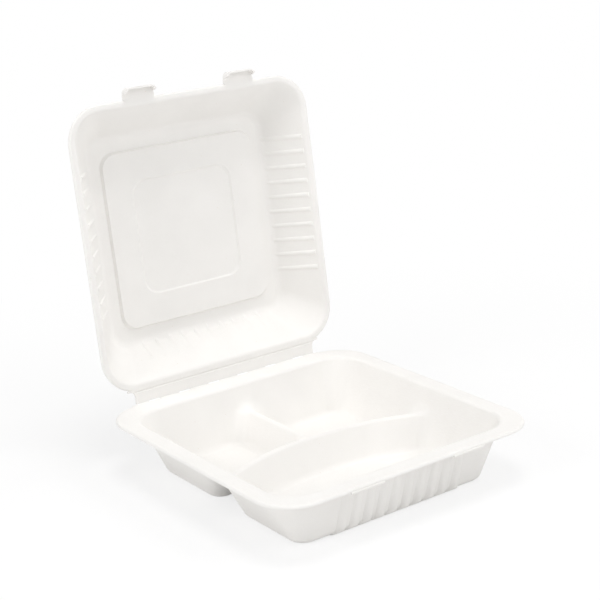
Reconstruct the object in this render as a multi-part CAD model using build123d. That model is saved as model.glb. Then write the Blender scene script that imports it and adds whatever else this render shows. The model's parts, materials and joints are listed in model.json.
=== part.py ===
from build123d import *
from math import atan2, cos, degrees, hypot, radians, sin, tan
import os

# The pressed pulp sheet, and half the gap kept between tray and lid
sheet = 1.2
half_gap = 0.15

# Tray rim
tray_width = 228.0
tray_depth = 228.0
tray_height = 43.0
tray_corner = 30.0
lip_drop = 2.2
lip_round = 1.6

# Tray mouth, walls and floor
mouth_half_width = 100.0
mouth_front = -100.0
mouth_rear = 97.0
mouth_corner = 24.0
floor_corner = 11.0
side_slope = 0.437
front_slope = 0.285
rear_slope = 0.34
wall_foot_round = 5.5
mouth_round = 3.0

# Dividers between the three compartments
main_crest_drop = 17.0
rear_crest_drop = 18.2
crest_round = 3.4
divider_slope = 0.46
divider_side_y = -17.0
divider_middle_y = 9.0
divider_end_round = 12.0
divider_overrun = 25.0

# Flutes pressed outward in the tray's front wall
flute_count = 10
flute_pitch = 11.2
flute_width = 8.8
flute_rise = 1.8
flute_top_rise = 0.6
flute_rim_gap = 3.2

# Ribs pressed inward in the lid's walls, fading out as they near the panel
rib_count = 10
rib_pitch = 11.8
rib_round = 2.6
side_rib_rise = 1.0
side_rib_end_rise = 0.5
hinge_rib_rise = -1.2
hinge_rib_end_rise = 0.9
rib_rim_gap = 2.4
side_rib_shift = 3.9

# Lid rim, walls and panel, measured along the lid from the hinge line
lid_width = 213.0
lid_corner = 28.0
strip_length = 10.0
strip_width = 166.0
strip_foot_round = 4.0
lid_end = 225.0
lid_rim = 5.0
lid_lip_drop = 1.9
fold_groove_y = 9.4
fold_groove_round = 1.0
fold_groove_depth = 0.6
lid_height = 33.0
lid_mouth_corner = 23.0
lid_panel_corner = 15.0
lid_slope = 0.71
panel_edge_round = 8.0
lid_mouth_round = 3.0
lid_open_angle = 97.0

# Squares pressed into the lid panel, one outward and one back inward
raised_square = 137.0
raised_height = 2.4
sunk_square = 87.0
sunk_depth = 1.2
square_corner = 12.0
square_bevel = 1.4

# Closing tabs on the lid and the seats they close over on the tray
tab_centre = 44.4
tab_base_width = 28.0
tab_end_width = 25.0
tab_reach = 8.8
tab_skirt = 5.5
tab_start = 223.0
tab_side_start = 229.2
tab_side_height = 1.5
tab_side_end = 231.0
tab_round = 4.0
seat_width = 28.0
seat_drop = 3.4
seat_height = 1.3
seat_reach = 0.7

# Perforation along the hinge line
slot_count = 6
slot_pitch = 27.0
slot_length = 10.0
slot_width = 1.2

# The box is modelled about the tray's middle; its origin lies on the front
# compartment's flat underside, this far in front of that middle
origin_forward = 55.0

# Derived positions
front_edge = -tray_depth / 2
hinge_y = tray_depth / 2
hinge_z = tray_height + half_gap
flute_radius = (flute_width**2 / 4 + flute_rise**2) / (2 * flute_rise)

# Larger than the whole box, for cutting blocks, and a match tolerance
beyond = 1000.0
close = 0.01


# A polygon with every side moved inward by its own distance
def inset(corners, distances):
    count = len(corners)
    shifted = []
    for i in range(count):
        ax, ay = corners[i]
        bx, by = corners[(i + 1) % count]
        length = hypot(bx - ax, by - ay)
        ux = (bx - ax) / length
        uy = (by - ay) / length
        shifted.append((ax - uy * distances[i], ay + ux * distances[i], ux, uy))
    moved = []
    for i in range(count):
        px, py, ux, uy = shifted[i - 1]
        qx, qy, vx, vy = shifted[i]
        along = ((qx - px) * vy - (qy - py) * vx) / (ux * vy - uy * vx)
        moved.append((px + ux * along, py + uy * along))
    return moved


# A flat face at one height, a polygon with each corner rounded
def outline(corners, radius, height):
    count = len(corners)
    lift = Vector(0, 0, height)
    arcs = []
    for i in range(count):
        corner = Vector(*corners[i])
        before = (Vector(*corners[i - 1]) - corner).normalized()
        after = (Vector(*corners[(i + 1) % count]) - corner).normalized()
        half = radians(before.get_angle(after)) / 2
        middle = (before + after).normalized() * (radius / sin(half) - radius)
        reach = radius / tan(half)
        arcs.append((corner + before * reach, corner + middle, corner + after * reach))
    edges = []
    for i in range(count):
        start, middle, end = arcs[i]
        edges.append(ThreePointArc(start + lift, middle + lift, end + lift))
        edges.append(Line(end + lift, arcs[(i + 1) % count][0] + lift))
    return make_face(Wire(edges))


# A rectangle's corners, counterclockwise from the near left
def rectangle(left, near, right, far):
    return [(left, near), (right, near), (right, far), (left, far)]


# A block that narrows downward; grow moves its walls outward by that thickness
def tub(corners, slopes, radii, top, bottom, grow):
    faces = []
    for height, radius in ((top, radii[0]), (bottom, radii[1])):
        distances = [slope * (top - height) - grow * hypot(1, slope) for slope in slopes]
        faces.append(outline(inset(corners, distances), radius + grow, height))
    return loft(faces, ruled=True)


# A divider's cross-section across one axis: two flanks and a round crest
def ridge_face(crest, offset, shrink, plane):
    low = -sheet
    radius = crest_round - shrink
    centre = crest - crest_round
    lean = atan2(divider_slope, 1)
    side = radius * cos(lean)
    shoulder = centre + radius * sin(lean)
    foot = side + (shoulder - low) * divider_slope
    arc = ThreePointArc((offset - side, shoulder), (offset, centre + radius), (offset + side, shoulder))
    edges = [
        Line((offset - foot, low), (offset - side, shoulder)),
        arc,
        Line((offset + side, shoulder), (offset + foot, low)),
        Line((offset + foot, low), (offset - foot, low)),
    ]
    return plane * make_face(Wire(edges))


# The dividers as solid ridges; shrink gives the hollow underneath them
def dividers(shrink):
    bow = divider_middle_y - divider_side_y
    radius = (mouth_half_width**2 + bow**2) / (2 * bow)
    sweep = degrees(atan2(mouth_half_width + divider_overrun, radius))
    across = Plane(origin=(0, 0, 0), x_dir=(0, 1, 0), z_dir=(1, 0, 0))
    section = ridge_face(tray_height - main_crest_drop, radius, shrink, across)
    main = Rot(0, 0, -sweep) * revolve(section, Axis.Z, 2 * sweep)
    main = Pos(0, divider_middle_y - radius, 0) * main
    start = Plane(origin=(0, divider_middle_y, 0), x_dir=(1, 0, 0), z_dir=(0, -1, 0))
    section = ridge_face(tray_height - rear_crest_drop, 0, shrink, start)
    rear = extrude(section, amount=mouth_rear + divider_overrun, dir=(0, 1, 0))
    return main + rear


# Edges where a divider runs into a wall or into the other divider
def divider_ends(body):
    found = []
    for edge in body.edges():
        box = edge.bounding_box()
        rises = box.max.Z - box.min.Z > crest_round + 2 * sheet
        if rises and box.max.Z < tray_height - sheet:
            found.append(edge)
    return found


# Edges lying flat at one height
def edges_at(body, height):
    found = []
    for edge in body.edges():
        box = edge.bounding_box()
        if abs(box.min.Z - height) < close and abs(box.max.Z - height) < close:
            found.append(edge)
    return found


# The edges at one height that lie within a rectangle
def edges_within(body, height, left, near, right, far):
    found = []
    for edge in edges_at(body, height):
        box = edge.bounding_box()
        across = box.min.X > left - close and box.max.X < right + close
        along = box.min.Y > near - close and box.max.Y < far + close
        if across and along:
            found.append(edge)
    return found


# Round bars along a sloping wall; their centre lines lie inward of the wall by
# the first distance at the top and by the second at the bottom
def wall_bars(places, along_x, mouth, inward, slope, top, bottom, distances, radius):
    stretch = hypot(1, slope)
    upper = mouth + inward * distances[0] * stretch
    lower = mouth + inward * (distances[1] * stretch + slope * (top - bottom))
    bars = Part()
    for place in places:
        start = Vector(place, upper, top) if along_x else Vector(upper, place, top)
        finish = Vector(place, lower, bottom) if along_x else Vector(lower, place, bottom)
        middle = (start + finish) / 2
        length = 2 * (finish - start).length
        bars += Plane(origin=middle, z_dir=finish - start) * Cylinder(radius, length)
    return bars


# Evenly spaced positions about a middle
def spread(count, pitch, middle):
    return [middle + (i - (count - 1) / 2) * pitch for i in range(count)]


# One face of the tray's pressed sheet, as a solid reaching up to the rim
def tray_body(skin):
    mouth = rectangle(-mouth_half_width, mouth_front, mouth_half_width, mouth_rear)
    slopes = [front_slope, side_slope, rear_slope, side_slope]
    radii = (mouth_corner, floor_corner)
    floor = sheet - skin
    body = tub(mouth, slopes, radii, tray_height, floor, skin) - dividers(skin)
    body = fillet(divider_ends(body), divider_end_round + skin)
    body = fillet(edges_at(body, floor), wall_foot_round + skin)
    limit = tub(mouth, slopes, radii, tray_height, floor, skin + flute_rise)
    limit = fillet(edges_at(limit, floor), wall_foot_round + skin)
    limit = limit & below(tray_height - flute_rim_gap)
    distances = (flute_radius - flute_top_rise - skin, flute_radius - flute_rise - skin)
    bars = wall_bars(spread(flute_count, flute_pitch, 0), True, mouth_front, 1, front_slope,
                     tray_height, floor, distances, flute_radius)
    return body + (bars & limit)


# Everything below one height
def below(height):
    return Pos(0, 0, height - beyond / 2) * Box(beyond, beyond, beyond)


# A flat rim whose outer edge curves over into a turned-down lip
def lipped_rim(corners, radius, drop):
    slab = extrude(outline(corners, radius, tray_height - drop), drop)
    slab = fillet(edges_at(slab, tray_height), lip_round)
    ring = inset(corners, [sheet] * 4)
    under = extrude(outline(ring, radius - sheet, tray_height - drop), drop - sheet)
    under = fillet(edges_at(under, tray_height - sheet), lip_round - sheet)
    return slab - under


# A flat piece of the sheet across the hinge side, where a rim has no lip
def hinge_land(rim, near, far, width):
    low = tray_height - sheet
    clear = Pos(0, (near + far) / 2, low) * Box(width, far - near, 2 * sheet + 2 * lip_drop)
    land = Pos(0, (near + far) / 2, low + sheet / 2) * Box(width, far - near, sheet)
    return rim - clear + land


# The tray's lipped rim with the two seats that the closing tabs catch under
def tray_rim():
    corners = rectangle(-tray_width / 2, front_edge, tray_width / 2, hinge_y)
    rim = lipped_rim(corners, tray_corner, lip_drop)
    rim = hinge_land(rim, hinge_y - lip_round, hinge_y, strip_width + 2 * strip_foot_round)
    depth = seat_reach + sheet
    for side in (-1, 1):
        middle = tray_height - seat_drop + seat_height / 2
        seat = Pos(side * tab_centre, front_edge - seat_reach + depth / 2, middle) * Box(
            seat_width, depth, seat_height
        )
        rim += fillet(seat.edges().filter_by(Axis.Z), seat_reach / 2)
    return rim


# Short cuts through the sheet along the hinge line
def perforation():
    cuts = []
    for place in spread(slot_count, slot_pitch, 0):
        cuts.append(Pos(place, hinge_y, tray_height) * Box(slot_length, slot_width, 4 * sheet))
    return cuts


# The tray: rim and pressed body less the hollow inside, then the hinge edge
def make_tray():
    tray = tray_rim() + tray_body(sheet) - tray_body(0)
    mouth = edges_within(tray, tray_height, -mouth_half_width, mouth_front, mouth_half_width, mouth_rear)
    tray = fillet(mouth, mouth_round)
    edge = Pos(0, hinge_y, tray_height) * Box(tray_width, 2 * half_gap, 4 * lip_drop)
    return tray - edge - perforation()


# One face of the lid's pressed sheet, laid open flat behind the tray
def lid_body(skin):
    near = hinge_y + strip_length + lid_rim
    far = hinge_y + lid_end - lid_rim
    half = lid_width / 2 - lid_rim
    mouth = rectangle(-half, near, half, far)
    slopes = [lid_slope] * 4
    radii = (lid_mouth_corner, lid_panel_corner)
    floor = tray_height - lid_height + sheet - skin
    body = tub(mouth, slopes, radii, tray_height, floor, skin)
    body = fillet(edges_at(body, floor), panel_edge_round + skin)
    middle = (near + far) / 2
    side_places = spread(rib_count, rib_pitch, middle + side_rib_shift)
    hinge_places = spread(rib_count, rib_pitch, 0)
    radius = rib_round - skin
    distances = (side_rib_rise - rib_round, side_rib_end_rise - rib_round)
    ribs = wall_bars(side_places, False, half, -1, lid_slope, tray_height, floor, distances, radius)
    ribs += wall_bars(side_places, False, -half, 1, lid_slope, tray_height, floor, distances, radius)
    distances = (hinge_rib_rise - rib_round, hinge_rib_end_rise - rib_round)
    ribs += wall_bars(hinge_places, True, near, 1, lid_slope, tray_height, floor, distances, radius)
    body = body - (ribs & below(tray_height - rib_rim_gap))
    side = raised_square / 2
    square = rectangle(-side, middle - side, side, middle + side)
    raised = tub(square, [square_bevel / raised_height] * 4, (square_corner, square_corner),
                 floor, floor - raised_height, 0)
    side = sunk_square / 2
    square = rectangle(-side, middle - side, side, middle + side)
    deep = floor - raised_height
    sunk = tub(square, [-square_bevel / sunk_depth] * 4, (square_corner, square_corner),
               deep + sunk_depth, deep, 0)
    return body + raised - sunk


# The lid's lipped rim and the flat strip between it and the hinge line
def lid_rim_plate():
    near = hinge_y + strip_length
    corners = rectangle(-lid_width / 2, near, lid_width / 2, hinge_y + lid_end)
    rim = lipped_rim(corners, lid_corner, lid_lip_drop)
    rim = hinge_land(rim, near, near + lip_round, strip_width + 3 * strip_foot_round)
    start = hinge_y + half_gap
    end = near + lip_round
    rim += Pos(0, (start + end) / 2, tray_height - sheet / 2) * Box(strip_width, end - start, sheet)
    feet = []
    for edge in rim.edges().filter_by(Axis.Z):
        beside = abs(abs(edge.center().X) - strip_width / 2) < close
        if beside and abs(edge.center().Y - near) < close:
            feet.append(edge)
    rim = fillet(feet, strip_foot_round)
    groove = Rot(0, 90, 0) * Cylinder(fold_groove_round, strip_width + strip_foot_round)
    rise = fold_groove_round - fold_groove_depth
    return rim - Pos(0, hinge_y + fold_groove_y, tray_height + rise) * groove


# A tab's footprint, a little narrower at its end; grow moves its sides outward
def tab_outline(place, grow, radius, height):
    start = hinge_y + tab_start
    far = hinge_y + lid_end + tab_reach
    corners = [
        (place - tab_base_width / 2, start),
        (place + tab_base_width / 2, start),
        (place + tab_end_width / 2, far),
        (place - tab_end_width / 2, far),
    ]
    return outline(inset(corners, [0, -grow, -grow, -grow]), radius, height)


# A closing tab: the sheet runs out past the rim and turns up at front and sides
def lid_tab(place):
    low = tray_height - sheet
    near = hinge_y + tab_start - sheet
    start = hinge_y + tab_side_start
    end = hinge_y + tab_side_end
    block = extrude(tab_outline(place, 0, tab_round, low), sheet + tab_skirt)
    hollow = extrude(tab_outline(place, -sheet, tab_round - sheet, tray_height), tab_skirt)
    tab = block - hollow
    profile = [
        (near, tray_height),
        (start, tray_height),
        (start, tray_height + tab_side_height),
        (end, tray_height + tab_skirt),
        (end, tray_height + 2 * tab_skirt),
        (near, tray_height + 2 * tab_skirt),
    ]
    side = Plane(origin=(place - tab_base_width, 0, 0), x_dir=(0, 1, 0), z_dir=(1, 0, 0))
    return tab - extrude(side * make_face(Polyline(profile, close=True)), 2 * tab_base_width)


# The lid, pressed flat open, then turned up about the hinge line
def make_lid():
    lid = lid_rim_plate() + lid_body(sheet) - lid_body(0)
    half = lid_width / 2 - lid_rim
    near = hinge_y + strip_length + lid_rim
    mouth = edges_within(lid, tray_height, -half, near, half, hinge_y + lid_end - lid_rim)
    lid = fillet(mouth, lid_mouth_round)
    for place in (-tab_centre, tab_centre):
        footprint = extrude(tab_outline(place, 0, tab_round, 0), 2 * tray_height)
        lid = lid - footprint + lid_tab(place)
    lid = lid - perforation()
    lid = Pos(0, -hinge_y, -hinge_z) * lid
    return Pos(0, hinge_y, hinge_z) * Rot(180 - lid_open_angle, 0, 0) * lid


os.makedirs("parts", exist_ok=True)
to_origin = Pos(0, origin_forward, 0)
export_step(to_origin * make_tray(), "parts/tray.step")
export_step(to_origin * make_lid(), "parts/lid.step")
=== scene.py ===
import bpy
import json
from math import cos, pi, radians, sin
from mathutils import Matrix, Vector


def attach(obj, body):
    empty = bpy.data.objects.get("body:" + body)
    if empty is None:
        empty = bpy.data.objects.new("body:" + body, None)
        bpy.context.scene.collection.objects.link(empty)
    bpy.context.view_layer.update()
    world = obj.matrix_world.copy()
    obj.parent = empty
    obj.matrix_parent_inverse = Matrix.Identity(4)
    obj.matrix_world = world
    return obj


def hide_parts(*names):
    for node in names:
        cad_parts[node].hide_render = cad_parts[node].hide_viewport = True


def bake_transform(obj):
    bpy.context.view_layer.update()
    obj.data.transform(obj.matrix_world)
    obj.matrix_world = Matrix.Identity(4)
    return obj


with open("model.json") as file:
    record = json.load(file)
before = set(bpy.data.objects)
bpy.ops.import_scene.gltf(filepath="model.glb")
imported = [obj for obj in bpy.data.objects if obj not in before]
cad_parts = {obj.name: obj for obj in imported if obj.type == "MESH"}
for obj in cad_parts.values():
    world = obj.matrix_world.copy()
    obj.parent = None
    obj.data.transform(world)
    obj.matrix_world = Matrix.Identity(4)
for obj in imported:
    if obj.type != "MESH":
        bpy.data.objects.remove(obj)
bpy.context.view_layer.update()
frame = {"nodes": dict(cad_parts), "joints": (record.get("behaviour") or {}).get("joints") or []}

tray = frame["nodes"]["tray"]
lid = frame["nodes"]["lid"]
hinge = Vector(frame["joints"][0]["pos_m"])
lidTurn = radians(83)  # how far the lid has turned up from lying flat behind the tray
sheetThickness = 0.0012
mergeDistance = 0.000001
plainWhite = (1, 1, 1, 1)
print("frame loaded, hinge line at", tuple(round(v, 4) for v in hinge))


def linearColour(hexColour):  # a screen colour written as on the web, turned into light
    parts = [int(hexColour[i:i + 2], 16) / 255 for i in (0, 2, 4)]
    return tuple(p / 12.92 if p <= 0.04045 else ((p + 0.055) / 1.055) ** 2.4 for p in parts) + (1.0,)


def addNode(tree, kind, links=None, **settings):  # one node with its settings, values and links
    node = tree.nodes.new(kind)
    for name, value in settings.items():
        setattr(node, name, value)
    for name, value in (links or {}).items():
        socket = node.inputs[name]
        if isinstance(value, bpy.types.NodeSocket):
            tree.links.new(value, socket)
        else:
            socket.default_value = value
    return node


def emptyTree(owner):  # the node tree of a material or the sky, with nothing in it yet
    owner.use_nodes = True
    owner.node_tree.nodes.clear()
    return owner.node_tree


def seenDirectly(tree):  # 1 where the eye, a reflection or a see-through surface looks at it
    ray = addNode(tree, "ShaderNodeLightPath")
    direct = addNode(tree, "ShaderNodeMath", {
        0: ray.outputs["Is Camera Ray"], 1: ray.outputs["Is Glossy Ray"]}, operation="MAXIMUM")
    through = addNode(tree, "ShaderNodeMath", {
        0: direct.outputs["Value"], 1: ray.outputs["Is Transmission Ray"]}, operation="MAXIMUM")
    return through.outputs["Value"]


# Pressed cane pulp: an off-white, quite matt sheet with a soft cloudy tone, short felted
# fibres that only show close up, and a few tan specks of bark. Lengths are in metres,
# and speckSize is a share of speckSpacing
pulp = {
    "colour": "F1EFEC",
    "cloudColour": "EEECE9",
    "cloudSize": 0.035,
    "cloudDetail": 3.0,
    "cloudEdges": (0.35, 0.65),
    "fibreColour": "F6F5F3",
    "fibreLength": 0.0042,
    "fibreWidth": 0.00045,
    "fibreTurns": ((0.3, 0.2, 0.1), (1.1, 0.7, 1.9), (0.5, 2.1, 2.7), (2.3, 1.2, 0.9)),
    "fibreDetail": 1.0,
    "fibreEdges": (0.56, 0.72),
    "fibreShare": 0.35,
    "fibreRelief": 0.6,
    "speckColour": "CDBB9C",
    "speckSpacing": 0.009,
    "speckSize": 0.035,
    "speckCore": 0.6,
    "speckShare": 0.45,
    "grainSize": 0.00035,
    "grainDetail": 2.0,
    "relief": 0.00005,
    "meshPitch": 0.0009,
    "meshRelief": 0.00003,
    "outsideEdges": (-0.05, 0.1),
    "roughness": 0.82,
    "ior": 1.45,
    "specular": 0.3,
}


def feltedStrands(tree, spot):  # short strands lying every way, as grains stretched and turned
    strands = None
    across = 1 / pulp["fibreWidth"]
    along = 1 / pulp["fibreLength"]
    for turn in pulp["fibreTurns"]:
        lay = addNode(tree, "ShaderNodeMapping", {
            "Vector": spot, "Rotation": turn, "Scale": (across, along, across)})
        grain = addNode(tree, "ShaderNodeTexNoise", {
            "Vector": lay.outputs["Vector"], "Scale": 1.0, "Detail": pulp["fibreDetail"]})
        strand = addNode(tree, "ShaderNodeMapRange", {
            "Value": grain.outputs["Fac"],
            "From Min": pulp["fibreEdges"][0], "From Max": pulp["fibreEdges"][1]})
        if strands is None:
            strands = strand.outputs["Result"]
        else:
            joined = addNode(tree, "ShaderNodeMath", {
                0: strands, 1: strand.outputs["Result"]}, operation="MAXIMUM")
            strands = joined.outputs["Value"]
    return strands


def wireWeave(tree, spot, normal, outward):  # only on the outer face, which dried on a wire screen
    facing = addNode(tree, "ShaderNodeVectorMath", {0: normal, 1: outward}, operation="DOT_PRODUCT")
    outside = addNode(tree, "ShaderNodeMapRange", {
        "Value": facing.outputs["Value"],
        "From Min": pulp["outsideEdges"][0], "From Max": pulp["outsideEdges"][1]})
    apart = addNode(tree, "ShaderNodeSeparateXYZ", {"Vector": spot})
    wires = []
    for axis in ("X", "Z"):
        wave = addNode(tree, "ShaderNodeMath", {
            0: apart.outputs[axis], 1: 2 * pi / pulp["meshPitch"]}, operation="MULTIPLY")
        wires.append(addNode(tree, "ShaderNodeMath", {0: wave.outputs["Value"]}, operation="SINE"))
    weave = addNode(tree, "ShaderNodeMath", {
        0: wires[0].outputs["Value"], 1: wires[1].outputs["Value"]}, operation="MULTIPLY")
    weaveOutside = addNode(tree, "ShaderNodeMath", {
        0: weave.outputs["Value"], 1: outside.outputs["Result"]}, operation="MULTIPLY")
    return weaveOutside.outputs["Value"]


def mouldedPulp(name, outward):
    material = bpy.data.materials.new(name)
    tree = emptyTree(material)
    place = addNode(tree, "ShaderNodeTexCoord")
    spot = place.outputs["Object"]

    clouds = addNode(tree, "ShaderNodeTexNoise", {
        "Vector": spot, "Scale": 1 / pulp["cloudSize"], "Detail": pulp["cloudDetail"]})
    cloudShare = addNode(tree, "ShaderNodeMapRange", {
        "Value": clouds.outputs["Fac"],
        "From Min": pulp["cloudEdges"][0], "From Max": pulp["cloudEdges"][1]})
    cloudy = addNode(tree, "ShaderNodeMix", {
        "Factor": cloudShare.outputs["Result"],
        6: linearColour(pulp["colour"]), 7: linearColour(pulp["cloudColour"])}, data_type="RGBA")

    strands = feltedStrands(tree, spot)
    strandShare = addNode(tree, "ShaderNodeMath", {0: strands, 1: pulp["fibreShare"]}, operation="MULTIPLY")
    fibred = addNode(tree, "ShaderNodeMix", {
        "Factor": strandShare.outputs["Value"],
        6: cloudy.outputs[2], 7: linearColour(pulp["fibreColour"])}, data_type="RGBA")

    cells = addNode(tree, "ShaderNodeTexVoronoi", {"Vector": spot, "Scale": 1 / pulp["speckSpacing"]})
    speck = addNode(tree, "ShaderNodeMapRange", {
        "Value": cells.outputs["Distance"], "From Min": pulp["speckSize"],
        "From Max": pulp["speckCore"] * pulp["speckSize"], "To Max": pulp["speckShare"]})
    flecked = addNode(tree, "ShaderNodeMix", {
        "Factor": speck.outputs["Result"],
        6: fibred.outputs[2], 7: linearColour(pulp["speckColour"])}, data_type="RGBA")

    grain = addNode(tree, "ShaderNodeTexNoise", {
        "Vector": spot, "Scale": 1 / pulp["grainSize"], "Detail": pulp["grainDetail"]})
    felt = addNode(tree, "ShaderNodeMath", {
        0: strands, 1: pulp["fibreRelief"], 2: grain.outputs["Fac"]}, operation="MULTIPLY_ADD")
    feltBump = addNode(tree, "ShaderNodeBump", {
        "Height": felt.outputs["Value"], "Distance": pulp["relief"]})
    weaveBump = addNode(tree, "ShaderNodeBump", {
        "Height": wireWeave(tree, spot, place.outputs["Normal"], outward),
        "Distance": pulp["meshRelief"], "Normal": feltBump.outputs["Normal"]})
    surface = addNode(tree, "ShaderNodeBsdfPrincipled", {
        "Base Color": flecked.outputs[2], "Roughness": pulp["roughness"], "IOR": pulp["ior"],
        "Specular IOR Level": pulp["specular"], "Normal": weaveBump.outputs["Normal"]})
    addNode(tree, "ShaderNodeOutputMaterial", {"Surface": surface.outputs["BSDF"]})
    return material


def coat(piece, material):
    piece.data.materials.clear()
    piece.data.materials.append(material)


trayPulp = mouldedPulp("trayPressedCanePulp", (0, 0, -1))
lidPulp = mouldedPulp("lidPressedCanePulp", (0, sin(lidTurn), -cos(lidTurn)))
coat(tray, trayPulp)
coat(lid, lidPulp)
print("pulp on the tray and the lid")


# The lid's flat panel has a square pressed in towards the food, and a smaller one inside it
# pressed back out. The solid has the two the other way round, so this sheet stands for it.
# Lengths are in metres with the lid lying flat, and middle is measured from the hinge line
lidPanel = {
    "middle": 0.1175,
    "reach": 0.070,
    "foodFace": 0.0112,
    "relief": 0.003,
    "steepest": 0.2,
    "sharpAngle": 30,
}


def turnAboutHinge(piece, angle):  # the turn goes into the mesh, and the piece stays at the origin
    bpy.ops.object.select_all(action="DESELECT")
    piece.select_set(True)
    bpy.context.view_layer.objects.active = piece
    turn = Matrix.Rotation(angle, 4, "X")
    piece.matrix_world = Matrix.Translation(hinge) @ turn @ Matrix.Translation(-hinge)
    bpy.ops.object.transform_apply(location=True, rotation=True, scale=True)


def pressOtherWay(piece, side, level):  # one face of the panel's sheet, with the lid lying flat
    bpy.ops.object.mode_set(mode="EDIT")
    bpy.ops.mesh.select_mode(type="VERT")
    bpy.ops.mesh.select_all(action="DESELECT")
    bpy.ops.object.mode_set(mode="OBJECT")
    for vertex in piece.data.vertices:
        x, y, z = vertex.co
        within = max(abs(x), abs(y - hinge.y - lidPanel["middle"])) < lidPanel["reach"]
        near = abs(z - level) < lidPanel["relief"]
        vertex.select = within and near and side * vertex.normal.z > lidPanel["steepest"]
    bpy.ops.object.mode_set(mode="EDIT")
    bpy.ops.transform.resize(value=(1, 1, -1), center_override=(0, 0, level))
    bpy.ops.object.mode_set(mode="OBJECT")


lidSheet = bpy.data.objects.new("lid_sheet", lid.data.copy())
bpy.context.scene.collection.objects.link(lidSheet)
turnAboutHinge(lidSheet, -lidTurn)
bpy.ops.object.mode_set(mode="EDIT")
bpy.ops.mesh.select_all(action="SELECT")
bpy.ops.mesh.remove_doubles(threshold=mergeDistance)
bpy.ops.object.mode_set(mode="OBJECT")
bpy.ops.mesh.customdata_custom_splitnormals_clear()
pressOtherWay(lidSheet, 1, lidPanel["foodFace"])
pressOtherWay(lidSheet, -1, lidPanel["foodFace"] - sheetThickness)
turnAboutHinge(lidSheet, lidTurn)
bpy.ops.object.mode_set(mode="EDIT")
bpy.ops.mesh.select_all(action="SELECT")
bpy.ops.mesh.normals_make_consistent(inside=False)
bpy.ops.object.mode_set(mode="OBJECT")
bpy.ops.object.shade_smooth_by_angle(angle=radians(lidPanel["sharpAngle"]))
weighted = lidSheet.modifiers.new("evenShading", "WEIGHTED_NORMAL")
weighted.keep_sharp = True
bpy.ops.object.modifier_apply(modifier=weighted.name)
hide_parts("lid")
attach(lidSheet, "lid")
print("lid sheet:", len(lidSheet.data.polygons), "faces")


# The crease: the uncut lands of pulp between the slots, built bent round the hinge line as far as the lid
# has turned
crease = {
    "stripWidth": 0.166,
    "slotPitch": 0.027,
    "slotLength": 0.010,
    "slotCount": 6,
    "topDrop": 0.00015,
    "reach": 0.00015,
    "steps": 8,
    "sharpAngle": 40,
    "bendHalfWidth": 0.0006,
    "bendTilt": 7,
}


def creaseLands():
    ends = [-crease["stripWidth"] / 2]
    for i in range(crease["slotCount"]):
        middle = (i - (crease["slotCount"] - 1) / 2) * crease["slotPitch"]
        ends += [middle - crease["slotLength"] / 2, middle + crease["slotLength"] / 2]
    ends.append(crease["stripWidth"] / 2)
    return [(ends[i], ends[i + 1]) for i in range(0, len(ends), 2)]


def edgeOfSheet(start, finish):  # the cut face of the sheet, as a plane that stands on edge
    bpy.ops.object.select_all(action="DESELECT")
    low = hinge.z - crease["topDrop"] - sheetThickness
    middle = ((start + finish) / 2, hinge.y - crease["reach"], low + sheetThickness / 2)
    bpy.ops.mesh.primitive_plane_add(size=1, location=middle, rotation=(radians(90), 0, 0))
    face = bpy.context.object
    face.scale = (finish - start, sheetThickness, 1)
    bpy.ops.object.transform_apply(location=True, rotation=True, scale=True)
    return face


def bendUp(face):  # out to the hinge line, round it, and on to the lid's strip
    bpy.ops.object.mode_set(mode="EDIT")
    bpy.ops.mesh.select_all(action="SELECT")
    bpy.ops.mesh.extrude_region_move(TRANSFORM_OT_translate={"value": (0, crease["reach"], 0)})
    bpy.ops.mesh.spin(steps=crease["steps"], angle=-lidTurn, center=hinge, axis=(-1, 0, 0))
    onward = (0, cos(lidTurn) * crease["reach"], sin(lidTurn) * crease["reach"])
    bpy.ops.mesh.extrude_region_move(TRANSFORM_OT_translate={"value": onward})
    bpy.ops.mesh.select_all(action="SELECT")
    bpy.ops.mesh.remove_doubles(threshold=mergeDistance)
    bpy.ops.mesh.normals_make_consistent(inside=False)
    bpy.ops.object.mode_set(mode="OBJECT")


lands = []
for start, finish in creaseLands():
    land = edgeOfSheet(start, finish)
    bendUp(land)
    lands.append(land)
bpy.ops.object.select_all(action="DESELECT")
for land in lands:
    land.select_set(True)
bpy.context.view_layer.objects.active = lands[0]
bpy.ops.object.join()
creaseWeb = bpy.context.object
creaseWeb.name = "crease_lands"
bpy.ops.object.shade_smooth_by_angle(angle=radians(crease["sharpAngle"]))
coat(creaseWeb, trayPulp)
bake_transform(creaseWeb)
print("crease lands:", len(lands))


# The floor is white paper; near the box it keeps a soft shadow, further off it is plain white
paper = {"colour": "F9F9F9", "shadowShare": 0.28, "nearRadius": 0.20, "farRadius": 0.62, "size": 14.0}


def whitePaper():
    material = bpy.data.materials.new("whiteStudioPaper")
    tree = emptyTree(material)
    place = addNode(tree, "ShaderNodeTexCoord")
    away = addNode(tree, "ShaderNodeVectorMath", {0: place.outputs["Object"]}, operation="LENGTH")
    near = addNode(tree, "ShaderNodeMapRange", {
        "Value": away.outputs["Value"], "From Min": paper["farRadius"],
        "From Max": paper["nearRadius"], "To Max": paper["shadowShare"]}, interpolation_type="SMOOTHSTEP")
    lit = addNode(tree, "ShaderNodeBsdfDiffuse", {"Color": linearColour(paper["colour"])})
    plain = addNode(tree, "ShaderNodeEmission", {"Color": plainWhite, "Strength": 1.0})
    seen = addNode(tree, "ShaderNodeMixShader", {
        "Fac": near.outputs["Result"], 1: plain.outputs[0], 2: lit.outputs[0]})
    shown = addNode(tree, "ShaderNodeMixShader", {
        "Fac": seenDirectly(tree), 1: lit.outputs[0], 2: seen.outputs[0]})
    addNode(tree, "ShaderNodeOutputMaterial", {"Surface": shown.outputs[0]})
    return material


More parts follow.
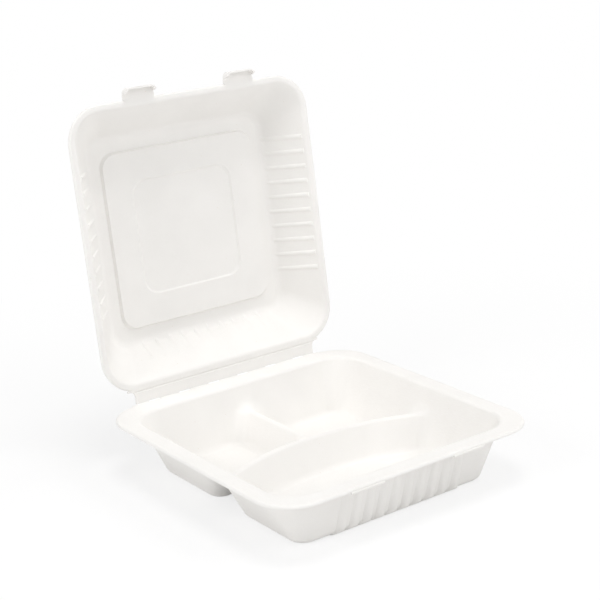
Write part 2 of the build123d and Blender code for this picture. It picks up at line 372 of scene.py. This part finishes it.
bpy.ops.object.select_all(action="DESELECT")
bpy.ops.mesh.primitive_plane_add(size=paper["size"], location=(0, 0, 0))
floor = bpy.context.object
floor.name = "floor"
coat(floor, whitePaper())
print("floor laid")


# Soft light from all round, as in a white tent, with panels overhead and at the sides
studio = {
    "sky": 0.46,
    "aim": (0, 0.08, 0.1),
    "panels": [
        {"name": "overhead", "place": (0.0, -0.16, 1.9), "size": 0.7, "power": 10.8},
        {"name": "left", "place": (-1.63, 0.08, 0.86), "size": 0.8, "power": 9.6},
        {"name": "frontRight", "place": (0.85, -1.13, 1.13), "size": 0.8, "power": 7.6},
        {"name": "right", "place": (1.16, 0.08, 1.48), "size": 0.8, "power": 2.4},
        {"name": "frontLow", "place": (0.0, -1.68, 0.47), "size": 0.8, "power": 2.2},
    ],
}


def addPanel(name, place, size, power):
    light = bpy.data.lights.new(name, "AREA")
    light.shape = "SQUARE"
    light.size = size
    light.energy = power
    panel = bpy.data.objects.new(name, light)
    bpy.context.scene.collection.objects.link(panel)
    panel.location = place
    panel.rotation_euler = (Vector(studio["aim"]) - Vector(place)).to_track_quat("-Z", "Y").to_euler()


def whiteSky():  # plain white to the eye, dimmer as a light
    world = bpy.data.worlds.new("studioSky")
    tree = emptyTree(world)
    dim = addNode(tree, "ShaderNodeBackground", {"Color": plainWhite, "Strength": studio["sky"]})
    white = addNode(tree, "ShaderNodeBackground", {"Color": plainWhite, "Strength": 1.0})
    shown = addNode(tree, "ShaderNodeMixShader", {
        "Fac": seenDirectly(tree), 1: dim.outputs[0], 2: white.outputs[0]})
    addNode(tree, "ShaderNodeOutputWorld", {"Surface": shown.outputs[0]})
    return world


for panel in studio["panels"]:
    addPanel(**panel)
bpy.context.scene.world = whiteSky()
print("lights set")


# The camera stands in front and to the left, a little above the lid's top edge
view = {
    "place": (-0.6043, -0.7719, 0.4545),
    "turn": -35.73,
    "down": 17.43,
    "roll": -2.84,
    "lens": 91.27,
    "sensorWidth": 36.0,
    "clip": (0.05, 50.0),
}
cameraData = bpy.data.cameras.new("camera")
cameraData.lens = view["lens"]
cameraData.sensor_width = view["sensorWidth"]
cameraData.clip_start = view["clip"][0]
cameraData.clip_end = view["clip"][1]
camera = bpy.data.objects.new("camera", cameraData)
bpy.context.scene.collection.objects.link(camera)
camera.matrix_world = (
    Matrix.Translation(view["place"])
    @ Matrix.Rotation(radians(view["turn"]), 4, "Z")
    @ Matrix.Rotation(radians(90 - view["down"]), 4, "X")
    @ Matrix.Rotation(radians(view["roll"]), 4, "Z")
)
bpy.context.scene.camera = camera
bpy.context.scene.view_settings.view_transform = "Standard"
print("camera placed")
